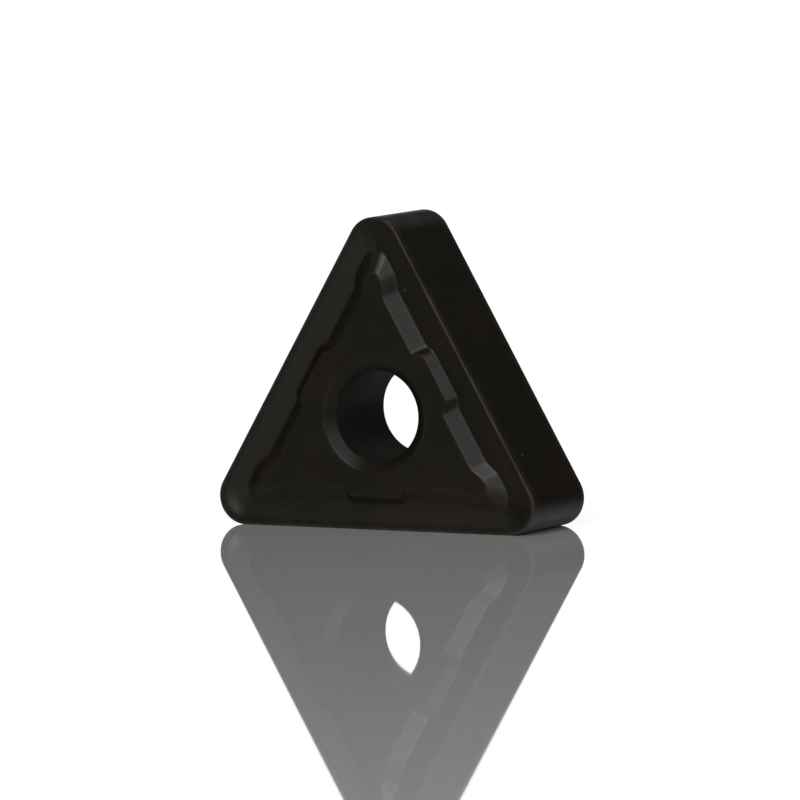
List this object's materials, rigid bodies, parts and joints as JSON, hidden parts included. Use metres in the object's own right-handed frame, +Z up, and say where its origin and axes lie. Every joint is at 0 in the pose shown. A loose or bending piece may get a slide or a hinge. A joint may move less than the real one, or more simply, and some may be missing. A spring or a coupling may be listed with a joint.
{
  "type": "carbide insert",
  "caption": "Triangular negative double-sided turning insert with a chip groove, raised seating island and clamping bore.",
  "frame": {"origin": "middle of the flank that the insert stands on, halfway between its two faces", "axes": "+X along that flank, +Y along the bore away from the front face, +Z up towards the opposite nose"},
  "size_m": [0.0148, 0.005, 0.0131],
  "materials": {
    "coated_carbide": "fine-grained satin black coating over sintered carbide, a little brighter on the honed cutting edges"
  },
  "bodies": {
    "root": {"insert": "coated_carbide"}
  },
  "joints": []
}
